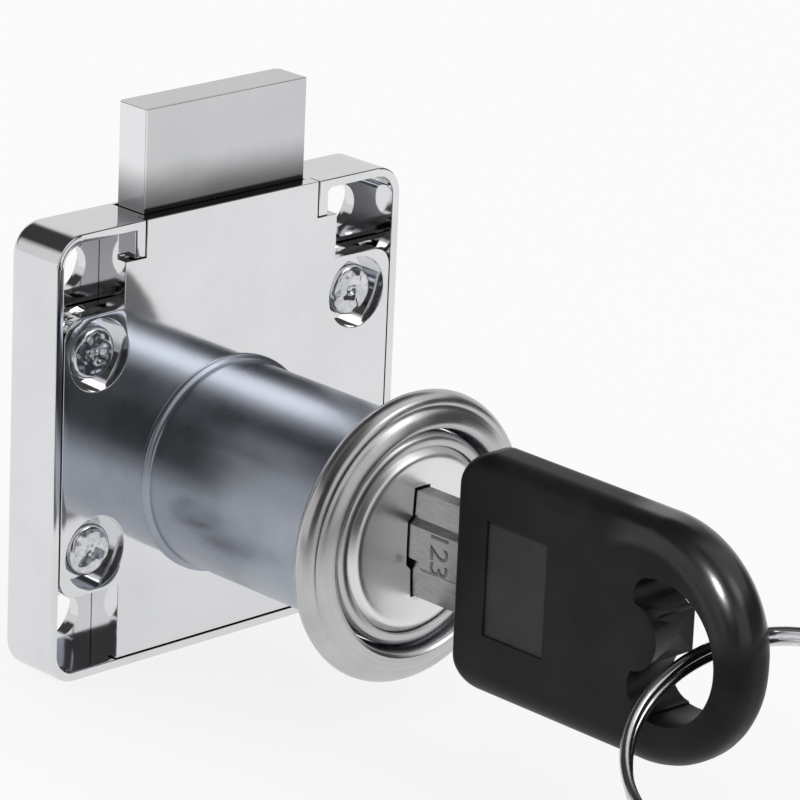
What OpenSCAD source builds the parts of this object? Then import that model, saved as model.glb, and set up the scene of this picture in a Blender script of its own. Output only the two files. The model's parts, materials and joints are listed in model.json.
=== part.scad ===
// Drawer lock with a round barrel, a square case, a rising bolt and a folding key.
// The barrel's axis is the Y axis and the key comes in from -Y. The bolt rises along +Z.
// The plane y = 0 is the face that lies against the back of the drawer front.

/* [Case] */
// Width of the case
case_w = 40; // [39:0.5:44]
// Height of the case
case_h = 40.8; // [40:0.2:46]
// Depth of the case behind the drawer front
case_d = 6.5; // [6.1:0.1:9]
// Distance from the barrel's axis down to the case's lower edge
case_drop = 16.6; // [16.2:0.1:18]
// Thickness of the rim around the case
rim_wall = 0.85; // [0.7:0.05:1.2]
// Thickness of the case's back
back_wall = 1.2; // [0.9:0.1:1.6]
// Radius of the case's corners
case_corner_r = 2.8; // [2:0.1:4]
// Depth of the corner pockets from the front face
pocket_depth = 3.6; // [3:0.1:4]
// Thickness of the lug that each wood screw clamps
lug_t = 1; // [0.8:0.1:1.4]
// Width of the short leg at each side of the cover's tab
leg_w = 1.1; // [0.8:0.1:1.4]

/* [Mounting screws] */
// Distance from the case's side to a screw hole
screw_side = 4.2; // [4:0.1:4.6]
// Distance from the case's top edge to the upper screw holes
screw_top = 4.1; // [3.9:0.1:4.3]
// Distance from the case's lower edge to the lower screw holes
screw_foot = 4.7; // [4.4:0.1:5]
// Diameter of the screw holes
screw_hole_d = 4; // [3.4:0.1:4.4]
// Diameter of the recess for a screw's head
screw_head_d = 7; // [6:0.2:7.2]

/* [Cover plate] */
// Thickness of the cover plate
plate_t = 1.2; // [1:0.1:1.4]
// Width of the tab at the top of the plate
tab_w = 20; // [19.4:0.1:20.8]
// Height of the tab above the plate's shoulder
tab_h = 3.4; // [3:0.1:3.8]
// Width of the plate's middle column
column_w = 24.7; // [24:0.1:25.4]
// Height of the upper corner pockets, down to the plate's ears
pocket_top_h = 7.5; // [7.2:0.1:7.8]
// Height of the lower corner pockets, up to the plate's ears
pocket_foot_h = 7.8; // [7.5:0.1:8]
// Radius of the ears' outer corners
ear_corner_r = 1.9; // [1:0.1:2.4]
// Gap between the plate and the case around it
plate_gap = 0.12; // [0.05:0.01:0.2]

/* [Rivets] */
// Distance from the case's side to a rivet
rivet_side = 4.9; // [4.7:0.1:5]
// Distance from the upper or lower edge of an ear to its rivet
rivet_edge = 3.7; // [3.6:0.1:3.9]
// Diameter of the recess around a rivet's head
recess_d = 6.6; // [6.2:0.1:6.8]
// Depth of the recess around a rivet's head
recess_depth = 1.5; // [1.3:0.1:1.7]
// Thickness of the plate's pad under a rivet
pad_t = 2.4; // [2.2:0.1:2.8]
// Diameter of a rivet's head
rivet_head_d = 4.9; // [4.4:0.1:5.2]
// Height of a rivet's head
rivet_head_h = 1; // [0.8:0.1:1.2]
// Diameter of a rivet's shank
rivet_d = 3; // [2.6:0.1:3.2]
// Depth of the countersunk tail at the case's back
rivet_tail_h = 0.8; // [0.6:0.1:1]

/* [Bolt] */
// Width of the bolt
bolt_w = 18.6; // [18:0.1:19]
// Thickness of the bolt
bolt_t = 3.8; // [3.5:0.05:3.85]
// Height of the bolt above the case when it is thrown
bolt_reach = 9.35; // [9:0.05:9.6]
// Travel of the bolt
bolt_travel = 9.4; // [9:0.1:9.8]
// Distance from the slot's middle down to the bolt's lower edge
bolt_foot = 9.2; // [8:0.1:10]
// Free play of the bolt on each side
bolt_play = 0.15; // [0.08:0.01:0.2]
// Chamfer along the bolt's edges
bolt_chamfer = 0.4; // [0.2:0.1:0.8]

/* [Barrel] */
// Outer diameter of the barrel
barrel_d = 19; // [18.8:0.1:19.4]
// Length of the barrel in front of the mounting face
barrel_l = 24.7; // [24:0.1:27]
// Height of the bright collar at the barrel's foot
foot_h = 1; // [0.5:0.1:1.4]
// Width of the bright collar at the barrel's foot
foot_w = 0.8; // [0.5:0.1:1.2]
// Radius of the barrel's front edge
lip_r = 0.8; // [0.3:0.1:0.9]
// Diameter of the barrel's spigot in the cover plate
spigot_d = 18; // [17.6:0.1:18.4]

/* [Plug] */
// Diameter of the plug's body
plug_d = 12.84; // [12.7:0.02:12.9]
// Diameter of the plug's front flange
flange_d = 16.5; // [16:0.1:16.8]
// Thickness of the plug's front flange
flange_t = 1.6; // [1.2:0.1:2]
// Distance that the plug's face stands in front of the barrel
plug_proud = 0.3; // [0:0.05:0.5]
// Width of the bright edge round the plug's face
face_edge = 0.7; // [0.4:0.1:0.9]
// Depth of the dish in the plug's face
dish_depth = 0.35; // [0.1:0.05:0.5]
// Running clearance of the plug, on the radius
run_gap = 0.08; // [0.03:0.01:0.1]
// Diameter of the drive pin
drive_pin_d = 2.8; // [2.4:0.1:3]
// Depth of the drive pin in the plug
drive_pin_seat = 3; // [2:0.1:3]
// Thickness of the plug's retaining clip
clip_t = 0.8; // [0.6:0.1:1]
// Radial width of the retaining clip
clip_w = 2; // [1.6:0.1:2.2]
// Depth of the clip's groove in the plug
clip_groove = 0.85; // [0.6:0.05:1]

/* [Wafers] */
// Distance between the wafers
wafer_pitch = 3.2; // [2.6:0.1:3.4]
// Distance from the barrel's front to the first wafer
wafer_first = 5.2; // [4.4:0.1:6]
// Thickness of a wafer
wafer_t = 1; // [0.8:0.1:1.2]
// Width of a wafer
wafer_w = 8.2; // [7.8:0.1:8.4]
// Travel of a wafer when the key is withdrawn
wafer_travel = 0.6; // [0.4:0.05:0.7]
// Sliding clearance around a wafer
wafer_gap = 0.1; // [0.05:0.01:0.15]
// Outer diameter of a wafer's spring
spring_d = 1; // [0.8:0.05:1.1]
// Diameter of the spring's wire
spring_wire = 0.3; // [0.2:0.02:0.34]
// Length of a wafer's spring
spring_l = 2.7; // [2.3:0.1:2.8]
// Height of the hook that a wafer's spring pushes
hook_h = 0.8; // [0.6:0.1:1]

/* [Trim ring] */
// Outer diameter of the trim ring
trim_d = 26; // [25:0.2:28]
// Thickness of the trim ring along the barrel
trim_t = 2.9; // [2.6:0.1:3.4]
// Diameter of the trim ring's open mouth
trim_mouth_d = 21.2; // [20.6:0.1:21.6]
// Diameter of the trim ring's front crest
trim_crest_d = 22.6; // [22.2:0.1:23]
// Thickness of the rolled bead round the trim ring
trim_bead = 1.8; // [1.4:0.1:2]
// Depth of the groove between the bead and the crest
trim_groove = 0.35; // [0.1:0.05:0.5]
// Depth of the neck that grips the barrel
trim_neck = 0.9; // [0.5:0.1:1.2]
// Distance that the trim ring stands in front of the barrel
trim_proud = 0.7; // [0.4:0.1:1.2]
// Play between the trim ring's neck and the barrel, on the radius
trim_gap = 0.05; // [0.02:0.01:0.1]

/* [Key] */
// Height of the key's blade
blade_h = 9.6; // [9:0.1:9.8]
// Thickness of the blade's edges
blade_t = 1.5; // [1.2:0.1:1.8]
// Thickness of the blade's raised middle
ridge_t = 2.5; // [2:0.1:2.6]
// Height of the blade's raised middle
ridge_h = 4.6; // [3.6:0.1:5]
// Length of the blade inside the plug
blade_in = 21; // [20:0.1:21.5]
// Depth of the cuts in the blade's edges
cut_depth = 0.8; // [0.3:0.1:1.2]
// Depth of the flute milled along the blade
flute_depth = 0.5; // [0.2:0.1:0.6]
// Height of the flute
flute_h = 1.8; // [1.2:0.1:2]
// Distance from the blade's middle down to the flute
flute_drop = 1.3; // [0.8:0.1:1.4]
// Distance from the plug's face to the flute's end
flute_out = 1; // [0.6:0.1:2]
// Clearance between the blade and the keyway
key_gap = 0.15; // [0.08:0.01:0.2]
// Distance from the plug's face to the key's head
blade_out = 6.6; // [6:0.1:9]

/* [Key head] */
// Length of the key's head
head_l = 32.3; // [31:0.1:35]
// Height of the key's head
head_h = 21.3; // [20.6:0.1:23]
// Thickness of the key's head
head_t = 5.5; // [5:0.1:6.5]
// Height of the head's middle above the blade's middle
head_rise = 0.2; // [0:0.1:1]
// Radius of the head's corners by the blade
head_corner_r = 3; // [1.5:0.1:4]
// Diameter of the hinge pin in the head
hinge_pin_d = 1.4; // [1.2:0.1:1.6]
// Diameter of the blade's knuckle on the hinge pin
knuckle_d = 3.2; // [2.8:0.1:3.4]
// Clearance around the knuckle and the folding blade
fold_gap = 0.25; // [0.15:0.01:0.3]
// Radius of the key ring hole
eye_r = 6.2; // [5.5:0.1:6.6]
// Width of the bar between the ring hole and the head's end
eye_bar = 2.4; // [2:0.1:3]
// Radius of the bump that narrows the ring hole
bump_r = 3.3; // [2.8:0.1:3.5]
// Height of the bare panel sunk in the head's side
panel_h = 10.2; // [8:0.1:12]
// Length of the bare panel
panel_l = 7; // [5:0.1:8]
// Distance from the head's end to the bare panel
panel_inset = 3.8; // [3.5:0.1:5]
// Height of the panel's middle above the blade's middle
panel_rise = 0.4; // [0:0.1:0.8]
// Depth of the bare panel
panel_depth = 0.3; // [0.1:0.05:0.5]

/* [Split ring] */
// Mean radius of the split ring
ring_r = 11.5; // [10.8:0.1:14]
// Thickness of the ring's wire
ring_wire = 1; // [0.8:0.1:1.2]
// Distance from the ring's middle line to the hole's outer edge
ring_gap = 3.6; // [3.2:0.1:4]
// Turn of the ring about the upright axis, in degrees
ring_turn = 106.3; // [103:0.1:109]
// Slope of the ring down from the hole, in degrees
ring_slope = 20.3; // [17:0.1:23]
// Roll of the ring about its own diameter, in degrees
ring_roll = 24.3; // [20:0.1:28]

/* [Hidden] */
$fn = 64;
eps = 0.01;
far = 60;

chrome = "#d9dadd";
satin = "#b9babd";
steel_blue = "#6f7784";
brass = "#c9a54a";
spring_steel = "#8d9298";
black_plastic = "#1c1c1e";

case_top_z = case_h - case_drop;
case_mid_z = case_h / 2 - case_drop;
inner_w = case_w - 2 * rim_wall;
inner_h = case_h - 2 * rim_wall;
inner_r = case_corner_r - rim_wall;
inner_top_z = case_top_z - rim_wall;
ear_top_z = case_top_z - pocket_top_h;
ear_drop = case_drop - pocket_foot_h;
screw_x = case_w / 2 - screw_side;
screw_high_z = case_top_z - screw_top;
screw_low_z = case_drop - screw_foot;
rivet_x = case_w / 2 - rivet_side;
rivet_high_z = ear_top_z - rivet_edge;
rivet_low_z = ear_drop - rivet_edge;
floor_y = case_d - back_wall;

shoulder_z = case_top_z - tab_h;
plate_foot_z = rim_wall - case_drop + plate_gap;
ear_w = inner_w - 2 * plate_gap;
pad_r = ear_w / 2 - rivet_x;
barrel_r = barrel_d / 2;

bolt_y = plate_t + bolt_play;
crank_r = bolt_travel / 2;
// Largest share of the crank by which the turning pin runs ahead of a steady rise.
drive_lead = 0.211;
slot_play = drive_lead * crank_r + bolt_play;
slot_h = drive_pin_d + 2 * slot_play;
slot_w = bolt_travel + drive_pin_d + 4 * bolt_play;
channel_w = bolt_w + 2 * bolt_play;
bolt_top_z = case_top_z + bolt_reach;
bolt_foot_z = crank_r - bolt_foot;

plug_r = plug_d / 2;
bore_r = plug_r + run_gap;
flange_r = flange_d / 2;
plug_front = barrel_l + plug_proud;
plug_back_y = plate_t - run_gap;
flange_back = plug_front - flange_t;
clip_in_r = plug_r - clip_groove;
clip_r = clip_in_r + clip_w;
clip_front_y = plug_back_y - 2 * clip_t - 2 * run_gap;
clip_room_r = clip_r + 4 * run_gap;

// One wafer for each wafer node.
wafer_count = 5;
wafer_reach = plug_r - run_gap;
wafer_slot_t = wafer_t + 2 * wafer_gap;
wafer_slot_w = wafer_w + 2 * wafer_gap;
groove_r = plug_r + wafer_travel + 3 * wafer_gap;
hook_w = spring_d + 4 * wafer_gap;
spring_x = wafer_w / 2 + 2 * wafer_gap + spring_d / 2;
spring_foot_z = -spring_l - wafer_gap / 2;

blade_tip_y = blade_in - plug_front;
head_face_y = -plug_front - blade_out;
hinge_y = head_face_y - head_t / 2;
knuckle_r = knuckle_d / 2;
blade_slot_h = blade_h + 2 * fold_gap;
head_end_y = head_face_y - head_l;
eye_y = head_end_y + eye_bar + eye_r;
bump_y = eye_y + bump_r;
panel_y = head_face_y - panel_inset;

trim_front_y = -barrel_l - trim_proud;
ring_section_h = 2 * ring_wire;
ring_seat_y = eye_y - eye_r + ring_gap;

// Stands a flat outline up in the XZ plane, from y = from to y = to.
module stand(from, to) {
    translate([0, to, 0]) rotate([90, 0, 0]) linear_extrude(to - from) children();
}

// Turns an outline about the Y axis; its second coordinate runs towards the key.
module turn_about_y() {
    rotate([90, 0, 0]) rotate_extrude($fn = 96) children();
}

// A rod along Y from y = from to y = to.
module rod_y(r, from, to) {
    translate([0, to, 0]) rotate([90, 0, 0]) cylinder(r = r, h = to - from);
}

// A flat rectangle with round corners, centred on the origin.
module rounded_rect(w, h, r) {
    square([w - 2 * r, h], center = true);
    square([w, h - 2 * r], center = true);
    for (sx = [-1, 1], sz = [-1, 1])
        translate([sx * (w / 2 - r), sz * (h / 2 - r)]) circle(r);
}

// A flat rectangle given by its edges.
module edges_rect(left, right, low, high) {
    translate([left, low]) square([right - left, high - low]);
}

// Copies its children to the left and to the right, mirrored.
module both_sides() {
    children();
    mirror([1, 0, 0]) children();
}

// Puts its children at each of the four rivets.
module at_rivets() {
    for (sx = [-1, 1], z = [rivet_high_z, -rivet_low_z])
        translate([sx * rivet_x, 0, z]) children();
}

// Puts its children at each of the four screw holes.
module at_screws() {
    for (sx = [-1, 1], z = [screw_high_z, -screw_low_z])
        translate([sx * screw_x, 0, z]) children();
}

// The tray: rim, back and the open inside.
module case_tray() {
    difference() {
        stand(0, case_d) translate([0, case_mid_z]) rounded_rect(case_w, case_h, case_corner_r);
        stand(-eps, floor_y) translate([0, case_mid_z]) rounded_rect(inner_w, inner_h, inner_r);
    }
}

// The raised corner lugs that the wood screws clamp.
module case_lugs() {
    intersection() {
        stand(pocket_depth, floor_y + eps) translate([0, case_mid_z])
            rounded_rect(inner_w + rim_wall, inner_h + rim_wall, inner_r);
        both_sides() {
            stand(0, case_d)
                edges_rect(column_w / 2 - eps, case_w / 2, ear_top_z - eps, case_top_z);
            stand(0, case_d)
                edges_rect(column_w / 2 - eps, case_w / 2, -case_drop, -ear_drop + eps);
        }
    }
}

// The walls that guide the bolt, and the blocks that carry the rivets.
module case_guides() {
    guide_out = column_w / 2 - plate_gap / 2;
    both_sides() {
        stand(plate_t, floor_y + eps)
            edges_rect(channel_w / 2, guide_out, rim_wall - case_drop - eps, inner_top_z + eps);
        stand(pad_t, floor_y + eps)
            edges_rect(guide_out - eps, inner_w / 2 + eps, rivet_high_z - pad_r, ear_top_z - plate_gap);
        stand(pad_t, floor_y + eps)
            edges_rect(guide_out - eps, inner_w / 2 + eps, -ear_drop + plate_gap, pad_r - rivet_low_z);
        stand(0, plate_t + eps)
            edges_rect(tab_w / 2 + plate_gap, tab_w / 2 + plate_gap + leg_w,
                shoulder_z + plate_gap, case_top_z - eps);
    }
}

// Chrome die-cast case, open to the front.
module case() {
    color(chrome)
    difference() {
        union() {
            case_tray();
            case_lugs();
            case_guides();
        }
        stand(-eps, plate_t)
            edges_rect(-tab_w / 2 - plate_gap, tab_w / 2 + plate_gap, shoulder_z, far);
        stand(plate_t - eps, floor_y)
            edges_rect(-channel_w / 2, channel_w / 2, 0, far);
        at_rivets() {
            rod_y(pad_r + plate_gap, plate_t - eps, pad_t + eps);
            rod_y(rivet_d / 2, 0, case_d + eps);
            rod_y(rivet_d / 2 + rivet_tail_h, case_d - rivet_tail_h, case_d + eps);
        }
        at_screws() {
            rod_y(screw_hole_d / 2, 0, case_d + eps);
            rod_y(screw_head_d / 2, pocket_depth + lug_t, case_d + eps);
        }
    }
}

// The cover plate's outline.
module plate_outline() {
    edges_rect(-tab_w / 2, tab_w / 2, 0, case_top_z);
    edges_rect(-column_w / 2, column_w / 2, plate_foot_z, shoulder_z);
    translate([0, (ear_top_z - ear_drop) / 2])
        rounded_rect(ear_w, ear_top_z + ear_drop, ear_corner_r);
}

// Chrome cover plate with its four rivet recesses.
module cover_plate() {
    color(chrome)
    difference() {
        union() {
            stand(0, plate_t) plate_outline();
            at_rivets() rod_y(pad_r, plate_t - eps, pad_t);
        }
        rod_y(spigot_d / 2, -eps, plate_t + eps);
        at_rivets() {
            rod_y(recess_d / 2, -eps, recess_depth);
            rod_y(rivet_d / 2, 0, pad_t + eps);
        }
    }
}

// The four rivets: a domed head, a shank and a countersunk tail.
module rivets() {
    dome = rivet_head_h / 2;
    head_r = rivet_head_d / 2;
    color(satin)
    at_rivets() translate([0, recess_depth, 0]) turn_about_y()
        polygon([[0, recess_depth - case_d], [rivet_d / 2 + rivet_tail_h, recess_depth - case_d],
            [rivet_d / 2 + rivet_tail_h, recess_depth - case_d + rivet_tail_h],
            [rivet_d / 2, recess_depth - case_d + rivet_tail_h], [rivet_d / 2, 0],
            [head_r, 0], [head_r, dome], [head_r - dome, rivet_head_h], [0, rivet_head_h]]);
}

// The barrel's outside: spigot, collar and the round front edge.
module barrel_outline() {
    polygon([[0, -plate_t], [spigot_d / 2, -plate_t], [spigot_d / 2, 0],
        [barrel_r + foot_w, 0], [barrel_r, foot_h],
        [barrel_r, barrel_l - lip_r], [barrel_r - lip_r, barrel_l - lip_r], [0, barrel_l - lip_r]]);
    edges_rect(0, barrel_r - lip_r, barrel_l - lip_r - eps, barrel_l);
    translate([barrel_r - lip_r, barrel_l - lip_r]) circle(lip_r, $fn = 32);
}

// Blue-grey barrel with the plug's bore and the wafers' channels.
module barrel() {
    color(steel_blue)
    difference() {
        turn_about_y() barrel_outline();
        rod_y(bore_r, -far, far);
        rod_y(flange_r + run_gap, -far, -flange_back + run_gap);
        rod_y(clip_room_r, clip_front_y - run_gap / 2, far);
        intersection() {
            rod_y(groove_r, -flange_back, wafer_y(wafer_count) + wafer_slot_t);
            for (s = [0, 180]) rotate([0, s, 0])
                translate([-wafer_slot_w / 2, -barrel_l, 0]) cube([wafer_slot_w, barrel_l, far]);
        }
    }
}

// Where a wafer stands along the barrel.
function wafer_y(i) = wafer_first + (i - 1) * wafer_pitch - barrel_l;

// Satin trim ring: a neck that grips the barrel, a funnel mouth, a crest and a rolled bead.
module trim_ring() {
    neck_r = barrel_r + trim_gap;
    mouth_r = trim_mouth_d / 2;
    crest_r = trim_crest_d / 2;
    bead_r = trim_bead / 2;
    bead_x = trim_d / 2 - bead_r;
    groove_y = (trim_bead + trim_t) / 2 - trim_groove;
    color(satin)
    translate([0, trim_front_y + trim_t, 0]) turn_about_y() {
        polygon([[neck_r, 0], [bead_x, 0], [bead_x, groove_y - trim_groove / 2],
            [(bead_x + crest_r) / 2, groove_y], [crest_r, trim_t - trim_groove / 2],
            [(crest_r + mouth_r) / 2, trim_t], [mouth_r, trim_t - trim_groove / 4],
            [neck_r, trim_neck]]);
        translate([bead_x, bead_r]) circle(bead_r, $fn = 48);
    }
}

// The bolt, with the cross slot that the drive pin works in.
module bolt() {
    w = bolt_w / 2;
    color(satin)
    difference() {
        intersection() {
            stand(bolt_y, bolt_y + bolt_t) edges_rect(-w, w, bolt_foot_z, bolt_top_z);
            translate([0, 0, bolt_foot_z]) linear_extrude(bolt_top_z - bolt_foot_z)
                polygon([[-w, bolt_y], [w, bolt_y], [w, bolt_y + bolt_t - bolt_chamfer],
                    [w - bolt_chamfer, bolt_y + bolt_t], [bolt_chamfer - w, bolt_y + bolt_t],
                    [-w, bolt_y + bolt_t - bolt_chamfer]]);
        }
        stand(0, case_d) translate([0, crank_r]) rounded_rect(slot_w, slot_h, slot_h / 2 - eps);
    }
}

// The blade's section with some clearance all round, flat in the XZ plane.
module blade_section(gap) {
    h = blade_h / 2 + gap;
    t = blade_t / 2 + gap;
    rt = ridge_t / 2 + gap;
    rh = ridge_h / 2 + gap;
    slope = ridge_t / 2 - blade_t / 2;
    polygon([[-t, -h], [t, -h], [t, -rh], [rt, slope - rh], [rt, rh - slope], [t, rh],
        [t, h], [-t, h], [-t, rh], [-rt, rh - slope], [-rt, slope - rh], [-t, -rh]]);
}

// The plug's outside: dished face, flange, body and the clip's groove.
module plug_outline() {
    dish_r = flange_r - 2 * face_edge;
    ball_r = (dish_r * dish_r + dish_depth * dish_depth) / (2 * dish_depth);
    difference() {
        polygon([[0, -plug_back_y], [plug_r, -plug_back_y],
            [plug_r, -clip_front_y - clip_t - run_gap], [clip_in_r, -clip_front_y - clip_t - run_gap],
            [clip_in_r, -clip_front_y + run_gap], [plug_r, -clip_front_y + run_gap],
            [plug_r, flange_back], [flange_r, flange_back], [flange_r, plug_front - face_edge],
            [flange_r - face_edge, plug_front], [0, plug_front]]);
        translate([0, plug_front + ball_r - dish_depth]) circle(ball_r, $fn = 256);
    }
}

// The plug, with its keyway, wafer slots and the drive pin's seat.
module plug() {
    color(satin)
    difference() {
        turn_about_y() plug_outline();
        stand(-far, blade_tip_y + key_gap * 4) blade_section(key_gap);
        translate([0, 0, crank_r]) rod_y(drive_pin_d / 2, plug_back_y - drive_pin_seat, far);
        for (i = [1:wafer_count]) translate([0, wafer_y(i), 0]) {
            cube([wafer_slot_w, wafer_slot_t, far], center = true);
            translate([0, -wafer_slot_t / 2, spring_foot_z])
                cube([spring_x + spring_d / 2 + wafer_gap, wafer_slot_t,
                    hook_h + wafer_travel + wafer_gap - spring_foot_z]);
        }
    }
}

// The eccentric pin at the plug's back that drives the bolt.
module drive_pin() {
    color(spring_steel)
    translate([0, 0, crank_r])
        rod_y(drive_pin_d / 2, plug_back_y - drive_pin_seat, floor_y - bolt_play);
}

// The open clip that keeps the plug in the barrel; its gap clears the drive pin.
module plug_clip() {
    gap_half = drive_pin_d / 2 + 3 * run_gap;
    color(spring_steel)
    difference() {
        rod_y(clip_r, clip_front_y, clip_front_y + clip_t);
        rod_y(clip_in_r, -far, far);
        translate([-gap_half, -far / 2, 0]) cube([2 * gap_half, far, far]);
    }
}

// One wafer, with its window for the key and the hook that its spring pushes.
module wafer(i) {
    window_w = ridge_t + 4 * key_gap;
    window_top = blade_h / 2 + 2 * key_gap;
    window_foot = window_top + wafer_travel;
    color(brass)
    translate([0, wafer_y(i), 0]) difference() {
        union() {
            intersection() {
                rod_y(wafer_reach, -wafer_t / 2, wafer_t / 2);
                cube([wafer_w, wafer_t, far], center = true);
            }
            translate([0, -wafer_t / 2, 0])
                cube([wafer_w / 2 + hook_w - 2 * wafer_gap, wafer_t, hook_h]);
        }
        translate([-window_w / 2, -wafer_t, -window_foot])
            cube([window_w, 2 * wafer_t, window_foot + window_top]);
    }
}

// One wafer's coil spring, pressed shut so that its turns meet, seated in the plug beside the wafer.
module wafer_spring(i) {
    coil_r = (spring_d - spring_wire) / 2;
    turns = ceil(1.2 * spring_l / spring_wire);
    pitch = (spring_l - spring_wire) / (turns - 1);
    color(spring_steel)
    translate([spring_x, wafer_y(i), spring_foot_z + spring_wire / 2])
        rotate_extrude($fn = 32) for (turn = [0:turns - 1])
            translate([coil_r, turn * pitch]) circle(spring_wire / 2, $fn = 16);
}

// The key's blade: shaped section, cuts in both edges, a flute and the hinge knuckle.
module key_blade() {
    cut_side = sqrt(2) * cut_depth;
    tip_side = 2 * cut_side;
    color(satin)
    difference() {
        union() {
            stand(hinge_y, blade_tip_y) blade_section(0);
            translate([0, hinge_y, -blade_h / 2]) cylinder(r = knuckle_r, h = blade_h);
        }
        translate([0, hinge_y, -far]) cylinder(r = hinge_pin_d / 2 + fold_gap / 3, h = 2 * far);
        translate([-ridge_t, -plug_front - flute_out, -flute_drop - flute_h])
            cube([ridge_t / 2 + flute_depth, far, flute_h]);
        for (i = [1:wafer_count], s = [-1, 1])
            translate([0, wafer_y(i), s * blade_h / 2]) rotate([45, 0, 0])
                cube([far, cut_side, cut_side], center = true);
        for (s = [0, 180]) rotate([0, s, 0])
            translate([0, blade_tip_y, blade_h / 2]) rotate([45, 0, 0])
                cube([far, tip_side, tip_side], center = true);
    }
}

// The head's outline, drawn with its first coordinate along -Y and its second along Z.
module head_outline() {
    half = head_h / 2;
    corner = [head_corner_r, half - head_corner_r];
    translate([head_l - half, 0]) circle(half, $fn = 96);
    edges_rect(head_corner_r, head_l - half, -half, half);
    edges_rect(0, head_l - half, -corner[1], corner[1]);
    for (s = [-1, 1]) translate([corner[0], s * corner[1]]) circle(head_corner_r);
}

// The bean-shaped hole for the ring, in the head outline's plane.
module eye_outline() {
    along = head_face_y - eye_y;
    difference() {
        translate([along, -head_rise]) circle(eye_r, $fn = 96);
        translate([0, -head_h]) square([along - bump_r, 2 * head_h]);
        translate([along - bump_r, -head_rise]) circle(bump_r);
    }
}

// Black plastic head, open at the blade's end and on its far side so that it folds.
module key_head() {
    color(black_plastic)
    difference() {
        translate([head_t / 2, head_face_y, head_rise])
            rotate([90, 0, -90]) linear_extrude(head_t) difference() {
                head_outline();
                eye_outline();
            }
        translate([-knuckle_r - fold_gap, hinge_y - knuckle_r - fold_gap, -blade_slot_h / 2])
            cube([far, far, blade_slot_h]);
        translate([0, hinge_y, head_rise - head_h / 2 + head_corner_r / 2])
            cylinder(r = hinge_pin_d / 2, h = head_h - head_corner_r);
        translate([-head_t / 2 - eps, panel_y - panel_l, panel_rise - panel_h / 2])
            cube([panel_depth + eps, panel_l, panel_h]);
    }
}

// The pin that the head folds on.
module key_hinge_pin() {
    color(spring_steel)
    translate([0, hinge_y, head_rise - head_h / 2 + head_corner_r / 2])
        cylinder(r = hinge_pin_d / 2, h = head_h - head_corner_r);
}

// Double-coiled split ring through the head's hole.
module split_ring() {
    color(chrome)
    translate([0, ring_seat_y, 0])
        rotate([ring_roll, ring_slope, -ring_turn]) translate([ring_r, 0, 0])
        rotate_extrude($fn = 96) translate([ring_r, 0]) {
            square([ring_wire, ring_section_h - ring_wire], center = true);
            for (s = [-1, 1]) translate([0, s * ring_wire / 2]) circle(ring_wire / 2, $fn = 24);
        }
}

case();
cover_plate();
rivets();
barrel();
trim_ring();
bolt();
plug();
drive_pin();
plug_clip();
wafer(1);  // wafer_1
wafer(2);  // wafer_2
wafer(3);  // wafer_3
wafer(4);  // wafer_4
wafer(5);  // wafer_5
wafer_spring(1);  // wafer_spring_1
wafer_spring(2);  // wafer_spring_2
wafer_spring(3);  // wafer_spring_3
wafer_spring(4);  // wafer_spring_4
wafer_spring(5);  // wafer_spring_5
key_blade();
key_head();
key_hinge_pin();
split_ring();
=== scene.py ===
import bpy
import bmesh
import json
import math
from mathutils import Matrix, Vector, noise

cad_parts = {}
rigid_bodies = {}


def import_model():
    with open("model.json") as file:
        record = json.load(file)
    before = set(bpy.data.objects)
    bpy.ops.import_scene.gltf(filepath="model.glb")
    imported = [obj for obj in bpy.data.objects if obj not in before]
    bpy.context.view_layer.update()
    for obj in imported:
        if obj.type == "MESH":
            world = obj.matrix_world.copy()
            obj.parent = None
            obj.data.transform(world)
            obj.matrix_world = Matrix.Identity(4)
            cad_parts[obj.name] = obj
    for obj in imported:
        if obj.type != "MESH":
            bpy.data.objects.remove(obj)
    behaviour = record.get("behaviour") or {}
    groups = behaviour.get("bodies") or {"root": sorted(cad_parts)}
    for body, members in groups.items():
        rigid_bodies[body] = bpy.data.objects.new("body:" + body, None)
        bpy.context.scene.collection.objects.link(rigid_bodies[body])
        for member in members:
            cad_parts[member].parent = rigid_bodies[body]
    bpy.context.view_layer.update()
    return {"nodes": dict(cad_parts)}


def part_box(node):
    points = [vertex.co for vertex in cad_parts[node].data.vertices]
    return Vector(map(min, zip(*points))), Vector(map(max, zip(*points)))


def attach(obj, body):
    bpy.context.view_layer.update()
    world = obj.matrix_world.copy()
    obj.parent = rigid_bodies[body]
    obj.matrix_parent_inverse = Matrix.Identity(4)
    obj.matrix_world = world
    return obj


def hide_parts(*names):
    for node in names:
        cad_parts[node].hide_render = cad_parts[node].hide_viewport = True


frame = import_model()
print("frame loaded:", len(frame["nodes"]), "CAD nodes")

# Lengths in the dictionaries are millimetres in the lock's own frame. The barrel's axis
# is the Y axis, the key comes in from -Y and the bolt rises along +Z. Each function that
# makes something takes its settings as s.
mm = 0.001  # in Blender's metres
near = 0.01  # a point as close as this to a plane lies in it
tiny = 1e-4  # points closer than this are one

cameraSettings = {
    "place": (-280.949, -308.885, 148.297),
    "right": (0.723946, -0.688653, 0.040734),
    "up": (0.193973, 0.259868, 0.945962),
    "lens": 225.0, "sensor": 36.0,
    "clip": (0.01, 50.0),  # metres
}


def makeCamera(s):
    right, up = Vector(s["right"]), Vector(s["up"])
    turn = Matrix((right, up, right.cross(up))).transposed().to_quaternion()
    data = bpy.data.cameras.new("photoCamera")
    data.lens, data.sensor_width = s["lens"], s["sensor"]
    data.clip_start, data.clip_end = s["clip"]
    camera = bpy.data.objects.new("photoCamera", data)
    bpy.context.scene.collection.objects.link(camera)
    camera.matrix_world = Matrix.Translation(Vector(s["place"]) * mm) @ turn.to_matrix().to_4x4()
    bpy.context.scene.camera = camera


makeCamera(cameraSettings)
bpy.context.scene.view_settings.view_transform = "Standard"
print("camera set")


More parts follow.
